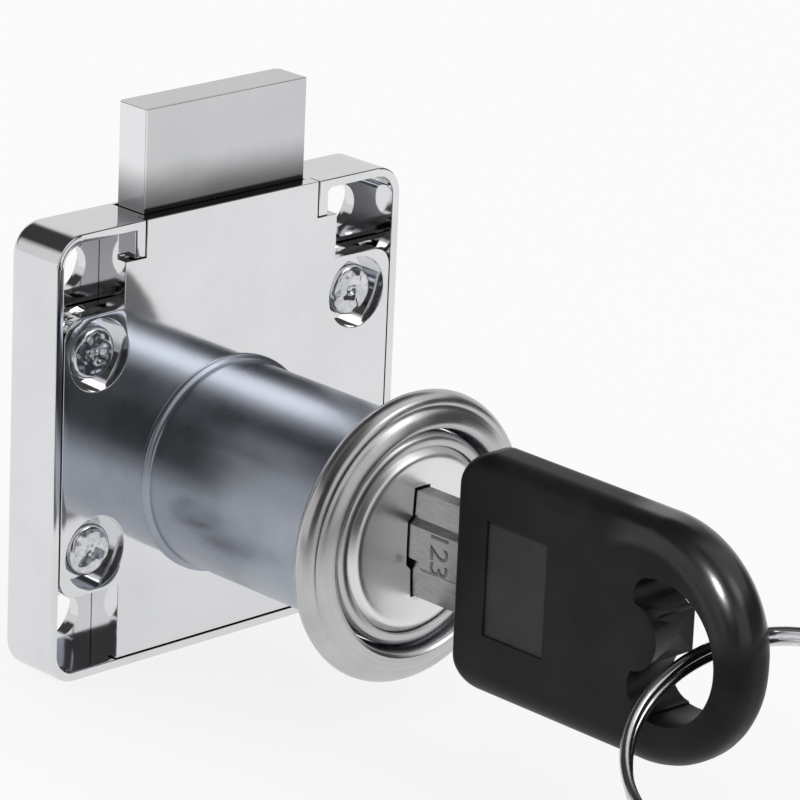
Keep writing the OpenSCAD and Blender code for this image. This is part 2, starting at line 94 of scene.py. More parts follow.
class Value:  # one shader socket that takes part in sums
    def __init__(self, shader, socket):
        self.shader, self.socket = shader, socket

    def calc(self, operation, first, second):
        return self.shader.node("ShaderNodeMath", {"operation": operation}, (first, second))

    def __add__(self, other):
        return self.calc("ADD", self, other)

    __radd__ = __add__

    def __mul__(self, other):
        return self.calc("MULTIPLY", self, other)

    __rmul__ = __mul__

    def __sub__(self, other):
        return self.calc("SUBTRACT", self, other)

    def __rsub__(self, other):
        return self.calc("SUBTRACT", other, self)

    def __pow__(self, other):
        return self.calc("POWER", self, other)


class Shader:  # a material on Principled BSDF, with its nodes made by name
    def __init__(self, name, **fixed):
        self.material = bpy.data.materials.new(name)
        self.material.use_nodes = True
        self.tree = self.material.node_tree
        self.surface = self.tree.nodes["Principled BSDF"]
        for socket, value in fixed.items():
            self.surface.inputs[socket.replace("_", " ")].default_value = value

    def node(self, kind, settings, inputs, output=0):
        made = self.tree.nodes.new(kind)
        for key, value in settings.items():
            setattr(made, key, value)
        pairs = inputs.items() if isinstance(inputs, dict) else enumerate(inputs)
        for key, value in pairs:
            if isinstance(value, Value):
                self.tree.links.new(value.socket, made.inputs[key])
            else:
                made.inputs[key].default_value = value
        return Value(self, made.outputs[output])

    def place(self):  # millimetres in the lock's frame
        coordinates = self.node("ShaderNodeTexCoord", {}, (), "Object")
        return self.node("ShaderNodeVectorMath", {"operation": "SCALE"},
                         {"Vector": coordinates, "Scale": 1 / mm})

    def parts(self, vector):
        split = self.node("ShaderNodeSeparateXYZ", {}, (vector,)).socket.node
        return [Value(self, output) for output in split.outputs]

    def joined(self, x, y, z):
        return self.node("ShaderNodeCombineXYZ", {}, (x, y, z))

    def radius(self, x, z):  # distance from an axis
        return (x * x + z * z) ** 0.5

    def stretched(self, vector, factors):
        return self.node("ShaderNodeVectorMath", {"operation": "MULTIPLY"}, (vector, factors))

    def noise(self, vector, scale, detail=3.0, roughness=0.5):
        return self.node("ShaderNodeTexNoise", {},
                         {"Vector": vector, "Scale": scale, "Detail": detail, "Roughness": roughness})

    def between(self, value, fromLow, fromHigh, toLow=0.0, toHigh=1.0):
        return self.node("ShaderNodeMapRange", {"interpolation_type": "SMOOTHSTEP"},
                         (value, fromLow, fromHigh, toLow, toHigh))

    def falling(self, value, full, none):  # 1 up to full, 0 from none on
        return self.between(value, full, none, 1.0, 0.0)

    def spread(self, value, limits, ends):  # from the first pair to the second
        return self.between(value, *limits, *ends)

    def colour(self, factor, low, high):  # low and high are colours, or sockets that carry one
        low, high = [end if isinstance(end, Value) else (*end, 1) for end in (low, high)]
        return self.node("ShaderNodeMix", {"data_type": "RGBA"}, {0: factor, 6: low, 7: high}, 2)

    def bump(self, height, depth, under=None):  # depth in millimetres
        inputs = {"Strength": 1.0, "Distance": depth * mm, "Height": height}
        if under:
            inputs["Normal"] = under
        return self.node("ShaderNodeBump", {}, inputs)

    def feed(self, **links):
        for socket, value in links.items():
            self.tree.links.new(value.socket, self.surface.inputs[socket.replace("_", " ")])
        return self.material


# Each look runs from a dark to a light colour and over a range of roughness. Their noises
# are (scale, detail, roughness), with the scale in waves per millimetre.
chromeNoise = {"pits": (9.0, 2.0), "wave": (0.28, 2.0), "waveDepth": 0.003,
               "scuffs": (0.9, 5.0, 0.7), "scuffStretch": (1.0, 1.0, 9.0), "scuffRange": (0.58, 0.75),
               "scuffRough": 0.05, "colourRange": (0.3, 0.7), "roughRange": (0.35, 0.75)}
castChrome = {"dark": (0.80, 0.805, 0.82), "light": (0.85, 0.855, 0.87), "rough": (0.06, 0.10),
              "cloud": (0.12, 4.0, 0.6), "pitDepth": 0.0008}
# the bolt's colour carries painted shade toward its foot, and painted light on its side
boltChrome = {"dark": (0.64, 0.645, 0.655), "light": (0.69, 0.695, 0.71), "rough": (0.12, 0.18),
              "cloud": (0.1, 4.0, 0.6), "pitDepth": 0.001,
              "paintedShade": (0.14, 0.14, 0.145), "paintedShadeEnds": (24.4, 28.9), "paintedShadeRagged": 1.5,
              "side": (0.93, 0.935, 0.95), "sidePaintedShade": (0.22, 0.22, 0.23), "sideEnds": (-9.2, -9.05)}


def chromeMaterial(name, look):
    shader = Shader(name, Metallic=1.0)
    place = shader.place()
    cloud = shader.noise(place, *look["cloud"])
    pits = shader.noise(place, *chromeNoise["pits"])
    wave = shader.noise(place, *chromeNoise["wave"])
    streaked = shader.stretched(place, chromeNoise["scuffStretch"])
    streaks = shader.noise(streaked, *chromeNoise["scuffs"])
    scuffs = shader.between(streaks, *chromeNoise["scuffRange"])
    share = shader.between(cloud, *chromeNoise["colourRange"])
    colour = shader.colour(share, look["dark"], look["light"])
    if "paintedShade" in look:  # painted shade darkens the colour toward the case, on the side too, and the side is painted lighter as painted light
        across, deep, height = shader.parts(place)
        unshaded = shader.between(height + (cloud - 0.5) * look["paintedShadeRagged"], *look["paintedShadeEnds"])
        side = shader.falling(across, *look["sideEnds"])
        colour = shader.colour(unshaded, look["paintedShade"], colour)
        colour = shader.colour(side, colour, shader.colour(unshaded, look["sidePaintedShade"], look["side"]))
    rough = (shader.spread(cloud, chromeNoise["roughRange"], look["rough"])
             + scuffs * chromeNoise["scuffRough"])
    normal = shader.bump(wave, chromeNoise["waveDepth"])
    normal = shader.bump(pits, look["pitDepth"], normal)
    return shader.feed(Base_Color=colour, Roughness=rough, Normal=normal)


turnedNoise = {"ringsPerMm": 14.0, "lathe": (1.0, 4.0, 0.7), "cloud": (0.16, 4.0, 0.55),
               "ringDepth": 0.0012, "colourRange": (0.35, 0.65), "roughRange": (0.3, 0.75),
               "latheRough": 0.1}
# the barrel's lip carries painted light and the trim ring's back carries painted shade
barrelBlue = {"dark": (0.33, 0.36, 0.42), "light": (0.46, 0.49, 0.555), "rough": (0.27, 0.33),
              "bare": (0.60, 0.60, 0.61), "bareEnds": (-24.1, -23.95)}
satinRing = {"dark": (0.53, 0.53, 0.54), "light": (0.66, 0.66, 0.67), "rough": (0.22, 0.32),
             "bare": (0.2, 0.2, 0.205), "bareEnds": (-22.6, -22.8)}
plugSatin = {"dark": (0.84, 0.84, 0.845), "light": (0.95, 0.95, 0.955), "rough": (0.28, 0.38)}


def turnedMaterial(name, look):  # fine rings about the barrel's axis
    shader = Shader(name, Metallic=1.0)
    x, y, z = shader.parts(shader.place())
    density = turnedNoise["ringsPerMm"]
    rings = shader.joined(shader.radius(x, z) * density, y * density, 0.0)
    lathe = shader.noise(rings, *turnedNoise["lathe"])
    cloud = shader.noise(shader.place(), *turnedNoise["cloud"])
    rough = (shader.spread(cloud, turnedNoise["roughRange"], look["rough"])
             + (lathe - 0.5) * turnedNoise["latheRough"])
    both = shader.between(lathe * 0.5 + cloud * 0.5, *turnedNoise["colourRange"])
    colour = shader.colour(both, look["dark"], look["light"])
    if "bare" in look:  # painted light and shade: the barrel's lip is painted light and the ring's back is painted dark as painted shade
        colour = shader.colour(shader.between(y, *look["bareEnds"]), look["bare"], colour)
    normal = shader.bump(lathe, turnedNoise["ringDepth"])
    return shader.feed(Base_Color=colour, Roughness=rough, Normal=normal)


drawnNoise = {"grain": (1.6, 5.0, 0.65), "cloud": (0.35, 3.0), "grainShare": 0.6,
              "colourRange": (0.35, 0.65), "roughRange": (0.3, 0.7), "grainRough": 0.12}
bladeNickel = {"dark": (0.40, 0.40, 0.405), "light": (0.60, 0.60, 0.61), "rough": (0.22, 0.36),
               "grainDepth": 0.003, "stretch": (6.0, 0.35, 6.0)}
wireNickel = {"dark": (0.62, 0.63, 0.65), "light": (0.8, 0.81, 0.83), "rough": (0.08, 0.16),
              "grainDepth": 0.0008, "stretch": (2.0, 2.0, 2.0)}
pinSteel = {"dark": (0.42, 0.42, 0.43), "light": (0.58, 0.58, 0.59), "rough": (0.25, 0.4),
            "grainDepth": 0.001, "stretch": (3.0, 3.0, 3.0)}
waferBrass = {"dark": (0.55, 0.40, 0.14), "light": (0.74, 0.58, 0.25), "rough": (0.25, 0.42),
              "grainDepth": 0.002, "stretch": (5.0, 1.0, 1.0)}
rivetSteel = {"dark": (0.56, 0.57, 0.59), "light": (0.82, 0.83, 0.85), "rough": (0.1, 0.2),
              "grainDepth": 0.002, "stretch": (1.5, 1.5, 1.5)}


def drawnMaterial(name, look):  # rolled or drawn metal with its grain
    shader = Shader(name, Metallic=1.0)
    place = shader.place()
    grain = shader.noise(shader.stretched(place, look["stretch"]), *drawnNoise["grain"])
    cloud = shader.noise(place, *drawnNoise["cloud"])
    rough = (shader.spread(cloud, drawnNoise["roughRange"], look["rough"])
             + (grain - 0.5) * drawnNoise["grainRough"])
    share = drawnNoise["grainShare"]
    both = shader.between(grain * share + cloud * (1 - share), *drawnNoise["colourRange"])
    colour = shader.colour(both, look["dark"], look["light"])
    normal = shader.bump(grain, look["grainDepth"])
    return shader.feed(Base_Color=colour, Roughness=rough, Normal=normal)


plasticNoise = {"grain": (5.0, 3.0, 0.6), "cloud": (0.16, 4.0, 0.6), "scuffs": (0.8, 6.0, 0.7),
                "scuffStretch": (1.0, 0.5, 3.0), "scuffRange": (0.62, 0.8), "scuffRough": 0.06,
                "colourRange": (0.3, 0.75), "roughRange": (0.3, 0.7), "shine": 0.15, "coatRough": 0.22}
headPlastic = {"dark": (0.003, 0.003, 0.0035), "light": (0.007, 0.007, 0.008), "rough": (0.32, 0.4),
               "grainDepth": 0.005, "wornMiddle": (-53.25, 0.2), "wornOut": (7.9, 8.9),
               "wornAlong": (-52.0, -48.5), "wornUp": (1.0, 4.0), "wornLeast": 0.8}
panelPlastic = {"dark": (0.017, 0.017, 0.018), "light": (0.023, 0.023, 0.024), "rough": (0.42, 0.52),
                "grainDepth": 0.004}


def plasticMaterial(name, look):
    shader = Shader(name, Specular_IOR_Level=plasticNoise["shine"],
                    Coat_Roughness=plasticNoise["coatRough"])
    place = shader.place()
    grain = shader.noise(place, *plasticNoise["grain"])
    cloud = shader.noise(place, *plasticNoise["cloud"])
    streaked = shader.stretched(place, plasticNoise["scuffStretch"])
    streaks = shader.noise(streaked, *plasticNoise["scuffs"])
    scuffs = shader.between(streaks, *plasticNoise["scuffRange"])
    rough = (shader.spread(cloud, plasticNoise["roughRange"], look["rough"])
             + scuffs * plasticNoise["scuffRough"])
    share = shader.between(cloud, *plasticNoise["colourRange"])
    colour = shader.colour(share, look["dark"], look["light"])
    if "wornOut" in look:  # thumbs polish the rounded edge at the head's end
        x, y, z = shader.parts(place)
        along, up = y - look["wornMiddle"][0], z - look["wornMiddle"][1]
        worn = (shader.between(shader.radius(along, up), *look["wornOut"])
                * shader.falling(y, *look["wornAlong"]) * shader.between(z, *look["wornUp"]))
        least = look["wornLeast"]
        shader.feed(Coat_Weight=worn * (least + cloud * (1 - least)))
    normal = shader.bump(grain, look["grainDepth"])
    return shader.feed(Base_Color=colour, Roughness=rough, Normal=normal)


# these colours paint the figures dark, a painted shade of stamped recesses
stampShade = {"dark": (0.2, 0.2, 0.2), "light": (0.34, 0.34, 0.34), "cloud": 3.0, "grain": 6.0,
            "roughRange": (0.3, 0.7), "rough": (0.3, 0.5)}


def figureShadeMaterial(name, look):  # the figures on the blade, painted dark as a painted shade of stamped recesses
    shader = Shader(name, Metallic=1.0)
    place = shader.place()
    colour = shader.colour(shader.noise(place, look["cloud"]), look["dark"], look["light"])
    rough = shader.spread(shader.noise(place, look["grain"]), look["roughRange"], look["rough"])
    return shader.feed(Base_Color=colour, Roughness=rough)


finishes = {
    "case": chromeMaterial("castChrome", castChrome),
    "bolt": chromeMaterial("boltChrome", boltChrome),
    "barrel": turnedMaterial("barrelBlue", barrelBlue),
    "trim_ring": turnedMaterial("satinRing", satinRing),
    "plug": turnedMaterial("plugSatin", plugSatin),
    "key_blade": drawnMaterial("bladeNickel", bladeNickel),
    "split_ring": drawnMaterial("wireNickel", wireNickel),
    "inner_steel": drawnMaterial("pinSteel", pinSteel),
    "wafers": drawnMaterial("waferBrass", waferBrass),
    "rivets": drawnMaterial("rivetSteel", rivetSteel),
    "key_head": plasticMaterial("headPlastic", headPlastic),
    "panel": plasticMaterial("panelPlastic", panelPlastic),
    "figures": figureShadeMaterial("stampShadeFloor", stampShade),
}
print("materials made:", len(finishes))


bevelSegments = {"turned": 6, "corner": 10, "wide": 28, "wideFrom": 5.0}  # steps round a corner


def reach(vertex):  # distance from the Y axis
    return math.hypot(vertex.co.x, vertex.co.z)


def roundCorner(form, x, y, z, radius, segments):
    corner = min(form.verts, key=lambda v: (v.co - Vector((x, y, z))).length)
    bmesh.ops.bevel(form, geom=[corner], offset=radius, offset_type="OFFSET", segments=segments,
                    profile=0.5, affect="VERTICES", material=-1, clamp_overlap=True)


def spun(corners, steps=144):  # corners are (radius, y, rounding), turned about the Y axis
    form = bmesh.new()
    form.faces.new([form.verts.new((r, y, 0)) for r, y, rounding in corners])
    for r, y, rounding in corners:
        if rounding:
            roundCorner(form, r, y, 0, rounding, bevelSegments["turned"])
    bmesh.ops.delete(form, geom=form.faces[:], context="FACES_ONLY")
    onAxis = [e for e in form.edges if all(abs(v.co.x) < tiny for v in e.verts)]
    bmesh.ops.delete(form, geom=onAxis, context="EDGES")
    bmesh.ops.spin(form, geom=form.verts[:] + form.edges[:], cent=(0, 0, 0), axis=(0, 1, 0),
                   angle=2 * math.pi, steps=steps, use_merge=True)
    bmesh.ops.remove_doubles(form, verts=form.verts[:], dist=tiny)
    bmesh.ops.recalc_face_normals(form, faces=form.faces[:])
    return form


def slab(corners, start, depth, axis=1):  # corners are (across, height, rounding); axis 1 is Y, 0 is X
    form = bmesh.new()

    def spot(a, b):
        return (a, start, b) if axis == 1 else (start, a, b)

    form.faces.new([form.verts.new(spot(a, b)) for a, b, rounding in corners])
    for a, b, rounding in corners:
        if rounding:
            size = "corner" if rounding < bevelSegments["wideFrom"] else "wide"
            roundCorner(form, *spot(a, b), rounding, bevelSegments[size])
    made = bmesh.ops.extrude_face_region(form, geom=form.faces[:])
    moved = [v for v in made["geom"] if isinstance(v, bmesh.types.BMVert)]
    bmesh.ops.translate(form, verts=moved, vec=(0, depth, 0) if axis == 1 else (depth, 0, 0))
    bmesh.ops.recalc_face_normals(form, faces=form.faces[:])
    return form


def block(low, high):
    form = bmesh.new()
    bmesh.ops.create_cube(form, size=1.0)
    low, high = Vector(low), Vector(high)
    bmesh.ops.scale(form, vec=high - low, verts=form.verts[:])
    bmesh.ops.translate(form, vec=(low + high) / 2, verts=form.verts[:])
    return form


def rod(radius, centre, length, axis, segments=64, farRadius=None):  # closed, about its centre
    form = bmesh.new()
    bmesh.ops.create_cone(form, cap_ends=True, segments=segments, radius1=radius,
                          radius2=farRadius or radius, depth=length)
    turn = Vector((0, 0, 1)).rotation_difference(Vector(axis)).to_matrix()
    bmesh.ops.rotate(form, cent=(0, 0, 0), matrix=turn, verts=form.verts[:])
    bmesh.ops.translate(form, vec=centre, verts=form.verts[:])
    return form


def spare(form, name):  # an object with the form's mesh; the form is used up
    mesh = bpy.data.meshes.new(name)
    form.to_mesh(mesh)
    form.free()
    piece = bpy.data.objects.new(name, mesh)
    bpy.context.scene.collection.objects.link(piece)
    return piece


def carved(form, cutters, operation="DIFFERENCE", rounding=0, segments=8):
    main = spare(form, "blank")
    if rounding:  # the edges' own weights share out the rounding
        soft = main.modifiers.new("soft", "BEVEL")
        soft.limit_method, soft.width, soft.segments = "WEIGHT", rounding, segments
    tools = [spare(cutter, "cutter") for cutter in cutters]
    for tool in tools:
        cut = main.modifiers.new("cut", "BOOLEAN")
        cut.operation, cut.solver, cut.object = operation, "EXACT", tool
    bpy.context.view_layer.update()
    shape = bpy.data.meshes.new_from_object(main.evaluated_get(bpy.context.evaluated_depsgraph_get()))
    result = bmesh.new()
    result.from_mesh(shape)
    for item in [main] + tools:
        bpy.data.meshes.remove(item.data)
    bpy.data.meshes.remove(shape)
    bmesh.ops.remove_doubles(result, verts=result.verts[:], dist=tiny)
    return result


def softened(form, width, segments, chosen=None, angle=28.0, clamp=True):  # rounds sharp edges
    limit = math.radians(angle)
    edges = [e for e in form.edges if len(e.link_faces) == 2 and e.calc_face_angle(0) > limit
             and (chosen is None or chosen(e))]
    bmesh.ops.bevel(form, geom=edges, offset=width, offset_type="OFFSET", segments=segments,
                    profile=0.5, affect="EDGES", material=-1, clamp_overlap=clamp, loop_slide=True)
    return form


cadSettings = {"merge": 0.002, "flat": 0.6}  # flat is an angle in degrees


def fromCad(node):  # a merged copy of a CAD node, in millimetres
    form = bmesh.new()
    form.from_mesh(frame["nodes"][node].data)
    bmesh.ops.scale(form, vec=(1 / mm,) * 3, verts=form.verts[:])
    bmesh.ops.remove_doubles(form, verts=form.verts[:], dist=cadSettings["merge"])
    bmesh.ops.recalc_face_normals(form, faces=form.faces[:])
    bmesh.ops.dissolve_limit(form, angle_limit=math.radians(cadSettings["flat"]), verts=form.verts[:],
                             edges=form.edges[:])
    return form


def finished(form, name, body, nodes, finish, angle=32.0, weighted=True, extra=()):
    bmesh.ops.triangulate(form, faces=[f for f in form.faces if len(f.verts) > 4])
    bmesh.ops.scale(form, vec=(mm,) * 3, verts=form.verts[:])
    form.normal_update()
    limit = math.radians(angle)
    for face in form.faces:
        face.smooth = True
    for edge in form.edges:
        edge.smooth = not (len(edge.link_faces) == 2 and edge.calc_face_angle(0) > limit)
    piece = spare(form, name)
    for material in (finishes[finish], *extra):
        piece.data.materials.append(material)
    if weighted:
        normals = piece.modifiers.new("normals", "WEIGHTED_NORMAL")
        normals.keep_sharp, normals.weight = True, 80
    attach(piece, body)
    if nodes:
        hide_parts(*nodes)
    print("piece", name, len(piece.data.polygons), "faces")
    return piece


caseSettings = {"width": 40.0, "height": 40.8, "drop": 16.6, "corner": 2.8, "edge": 0.14,
                "backEdge": 1.1, "backSegments": 6, "spare": 0.02, "ahead": 2.0}


def makeCase(s):
    form = fromCad("case")
    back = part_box("case")[1].y / mm
    softened(form, s["edge"], 2, lambda e: all(v.co.y < near for v in e.verts))
    half, corner = s["width"] / 2 + s["spare"], s["corner"] + s["spare"]
    low, high = -s["drop"] - s["spare"], s["height"] - s["drop"] + s["spare"]
    outline = [(-half, low, corner), (half, low, corner), (half, high, corner), (-half, high, corner)]
    pillow = slab(outline, -s["ahead"], back + s["ahead"])
    softened(pillow, s["backEdge"], s["backSegments"],
             lambda e: all(v.co.y > back - near for v in e.verts))
    form = carved(form, [pillow], "INTERSECT")  # rounds the back's edges
    return finished(form, "case_shell", "lock_body", ["case"], "case")


plateSettings = {"edge": 0.09, "foot": 10.4}  # foot is the radius that the barrel's foot takes up


def makePlate(s):
    form = fromCad("cover_plate")

    def inFront(edge):
        return all(v.co.y < near and reach(v) > s["foot"] for v in edge.verts)

    softened(form, s["edge"], 2, inFront, clamp=False)
    return finished(form, "cover_sheet", "lock_body", ["cover_plate"], "case")


barrelSettings = {
    "profile": (
        (6.5, -0.68, 0), (7.89, -0.68, 0), (7.89, 1.2, 0),  # the clip's room
        (9.0, 1.2, 0), (9.0, 0.0, 0),  # spigot
        (10.0, 0.0, 0), (10.0, -0.22, 0.12), (9.5, -0.5, 0.2),  # collar
        (9.5, -24.7, 0.8), (8.33, -24.7, 0.12),  # lip
        (8.33, -23.32, 0), (6.5, -23.32, 0)),  # the flange's recess
    "channelRadius": 7.3, "channelHalf": 4.2, "channelEnds": (-23.42, -5.5)}


def makeBarrel(s):
    radius, half = s["channelRadius"], s["channelHalf"]
    start, end = s["channelEnds"]
    channel = carved(rod(radius, (0, (start + end) / 2, 0), end - start, (0, 1, 0), 144),
                     [block((-half, start - 1, -radius - 1), (half, end + 1, radius + 1))], "INTERSECT")
    form = carved(spun(s["profile"]), [channel])  # room for the wafers, above and below
    return finished(form, "barrel_tube", "lock_body", ["barrel"], "barrel", angle=40)


ringSettings = {
    "profile": (
        (9.6, -22.5, 0.1), (12.4, -22.5, 0.35), (13.0, -23.0, 0.5), (13.0, -23.85, 0.6),  # back and rim
        (12.3, -24.65, 0.55), (11.85, -24.6, 0.55),  # bead
        (11.05, -25.25, 0.65), (10.35, -25.4, 0.35),  # crest
        (9.95, -25.1, 0.2), (9.95, -24.2, 0.2), (9.6, -23.4, 0.2)),  # mouth and neck
    "steps": 192}


def makeTrimRing(s):
    form = spun(s["profile"], s["steps"])
    return finished(form, "trim_collar", "trim", ["trim_ring"], "trim_ring", angle=75)


boltSettings = {"edge": 0.16}


def makeBolt(s):
    form = softened(fromCad("bolt"), s["edge"], 3)
    return finished(form, "bolt_bar", "deadbolt", ["bolt"], "bolt")


plugSettings = {
    "faceFrom": -24.5,
    "rounds": (  # rounding, segments, the edges' radii, and the least angle between their faces
        (0.3, 4, 7.25, 9.0, 20), (0.4, 5, 6.75, 6.95, 6), (0.07, 2, 0, 6.25, 28))}


def makePlug(s):
    form = fromCad("plug")
    for rounding, segments, low, high, angle in s["rounds"]:  # the rim, the dish and the keyway
        softened(form, rounding, segments, lambda e: all(
            v.co.y < s["faceFrom"] and low < reach(v) < high for v in e.verts), angle)
    return finished(form, "plug_core", "cylinder", ["plug"], "plug", angle=38)


rivetSettings = {
    "seats": ((-15.1, 13.0), (15.1, 13.0), (-15.1, -5.1), (15.1, -5.1)),
    "profile": (
        (0, 0.62, 0), (0.8, 0.58, 0.3), (1.6, 0.5, 0.4), (2.1, 0.62, 0.3), (2.4, 0.9, 0.25),
        (2.45, 1.5, 0.05), (1.5, 1.5, 0),  # under the head
        (1.5, 5.7, 0), (2.3, 6.5, 0), (0, 6.5, 0)),  # shank and tail
    "steps": 64, "headBack": 1.0, "dentOut": 2.3, "dent": 0.2, "scale": 0.75, "shift": (7.3, 0, 3.1),
    "coarse": 1.6, "fine": 0.4, "finer": 2.1, "dimple": 0.42, "dimpleDepth": 0.16}


def makeRivets(s):
    whole = bmesh.new()
    for number, (x, z) in enumerate(s["seats"]):
        form = spun(s["profile"], s["steps"])
        face = [e for e in form.edges if all(v.co.y < s["headBack"] for v in e.verts)]
        bmesh.ops.subdivide_edges(form, edges=face, cuts=2, use_grid_fill=True)
        for vertex in form.verts:  # the hammered head
            if vertex.co.y < s["headBack"]:
                spot = vertex.co * s["scale"] + Vector(s["shift"]) * number
                share = max(0.0, 1.0 - (reach(vertex) / s["dentOut"]) ** 4)
                dents = noise.noise(spot) * s["coarse"] + noise.noise(spot * s["finer"]) * s["fine"]
                vertex.co.y += s["dent"] * share * dents
                if max(abs(vertex.co.x), abs(vertex.co.z)) < s["dimple"]:
                    vertex.co.y += s["dimpleDepth"]
        bmesh.ops.translate(form, vec=(x, 0, z), verts=form.verts[:])
        mesh = bpy.data.meshes.new("rivet")
        form.to_mesh(mesh)
        form.free()
        whole.from_mesh(mesh)
        bpy.data.meshes.remove(mesh)
    return finished(whole, "rivet_heads", "lock_body", ["rivets"], "rivets", angle=60,
                    weighted=False)


bladeSettings = {"edge": 0.07}
figureSettings = {"figures": "123", "size": 3.0, "space": 0.95, "depth": 0.03, "round": 0.045,
                  "spot": (-1.24, -28.3, 0.0)}


def makeBlade(s):
    form = softened(fromCad("key_blade"), s["edge"], 2)
    return finished(form, "blade_steel", "key", ["key_blade"], "key_blade")


def makeFigures(s):  # plain counting figures, read from the side with the key's end up
    curve = bpy.data.curves.new("figures", "FONT")
    curve.body, curve.size, curve.space_character = s["figures"], s["size"], s["space"]
    curve.align_x, curve.align_y = "CENTER", "CENTER"
    curve.extrude, curve.resolution_u = s["depth"], 4
    curve.bevel_depth, curve.bevel_resolution, curve.offset = s["round"], 2, -s["round"]
    text = bpy.data.objects.new("figures", curve)
    bpy.context.scene.collection.objects.link(text)
    bpy.context.view_layer.update()
    shape = bpy.data.meshes.new_from_object(text.evaluated_get(bpy.context.evaluated_depsgraph_get()))
    bpy.data.objects.remove(text)
    form = bmesh.new()
    form.from_mesh(shape)
    # the figures follow each other down along -Z, their tops towards -Y
    turn = Matrix(((0, 0, -1), (0, -1, 0), (-1, 0, 0)))
    bmesh.ops.rotate(form, cent=(0, 0, 0), matrix=turn, verts=form.verts[:])
    bmesh.ops.translate(form, vec=s["spot"], verts=form.verts[:])
    bmesh.ops.remove_doubles(form, verts=form.verts[:], dist=tiny)
    return finished(form, "key_number", "key", [], "figures", weighted=False)


headSettings = {
    "face": -31.6, "end": -63.9, "middle": 0.2, "half": 10.65, "thick": 2.75,
    "corner": 3.0, "endCorner": 10.35, "round": 2.4, "frontRound": 0.7,
    "eye": -55.3, "eyeRadius": 6.2, "eyeEdge": 0.22, "eyeSpare": 0.05,  # flat at the lobes
    "lobes": ((-54.2, 4.2, 1.85), (-54.4, -3.7, 2.25)),
    "bump": (-52.2, 0.5), "bumpRadii": (3.0, 1.5), "bumpSpare": 0.4, "bumpHalf": 3.0,
    "slot": (-1.85, -36.2, 5.05),
    "panel": (-42.4, -35.4, -4.7, 5.5), "panelDepth": 0.3, "panelEdge": 0.06, "panelSpare": 0.1,
    "panelBehind": -2.0,
    "past": 20.0}  # how far the cutting forms go beyond the head


def makeHead(s):
    low, high, end = s["middle"] - s["half"], s["middle"] + s["half"], s["endCorner"]
    thick, past, along = s["thick"], s["past"], (1, 0, 0)
    form = slab([(s["face"], low, s["corner"]), (s["face"], high, s["corner"]), (s["end"], high, end),
                 (s["end"], low, end)], -thick, 2 * thick, axis=0)
    weight = form.edges.layers.float.new("bevel_weight_edge")
    for edge in form.edges:  # the rounding grows from the front to the sides
        middle = (edge.verts[0].co + edge.verts[1].co) / 2
        share = min(1.0, (s["face"] - middle.y) / s["corner"])
        if abs(abs(middle.x) - thick) < near:
            edge[weight] = (s["frontRound"] + (s["round"] - s["frontRound"]) * share) / s["round"]
    flat, bump = s["lobes"][0][0], s["bump"][0]
    eye = carved(rod(s["eyeRadius"], (0, s["eye"], 0), past, along, 96),
                 [block((-past, flat, -past), (past, 0, past))])
    eye = carved(eye, [rod(size, (0, y, z), past, along, 48) for y, z, size in s["lobes"]], "UNION")
    nearSize, farSize = s["bumpRadii"]
    eye = carved(eye, [rod(nearSize, (0, *s["bump"]), 2 * thick + s["bumpSpare"], along, 64, farSize),
                       block((-past, bump, -s["bumpHalf"]), (past, 0, s["bumpHalf"]))])
    x, y, z = s["slot"]
    panelEnd, panelStart, foot, top = s["panel"]
    floor = s["panelDepth"] - thick
    slot = block((x, y, -z), (past, 0, z))
    panel = block((-past, panelEnd, foot), (floor, panelStart, top))
    form = carved(form, [eye, slot, panel], rounding=s["round"])

    def inEye(edge):
        middle = (edge.verts[0].co + edge.verts[1].co) / 2
        out = math.hypot(middle.y - s["eye"], middle.z)
        return out < s["eyeRadius"] + s["eyeSpare"] and abs(middle.x) > thick - s["eyeSpare"]

    def atPanel(edge):
        return all(panelEnd - s["panelSpare"] < v.co.y < panelStart + s["panelSpare"]
                   and v.co.x < s["panelBehind"] for v in edge.verts)

    softened(form, s["eyeEdge"], 3, inEye)
    softened(form, s["panelEdge"], 2, atPanel)
    for face in form.faces:
        middle = face.calc_center_median()
        if abs(middle.x - floor) < 2 * near and panelEnd < middle.y < panelStart:
            face.material_index = 1
    return finished(form, "head_shell", "folding_head", ["key_head"], "key_head",
                    extra=[finishes["panel"]])


splitSettings = {"radius": 11.5, "wire": 0.48, "wireSides": 16, "pitch": 1.0, "seat": (0, -57.9, 0),
                 "turn": 106.3, "slope": 20.3, "roll": 24.3,  # degrees about Z, Y and X
                 "gap": 30.0, "flatSteps": 110, "riseSteps": 24}


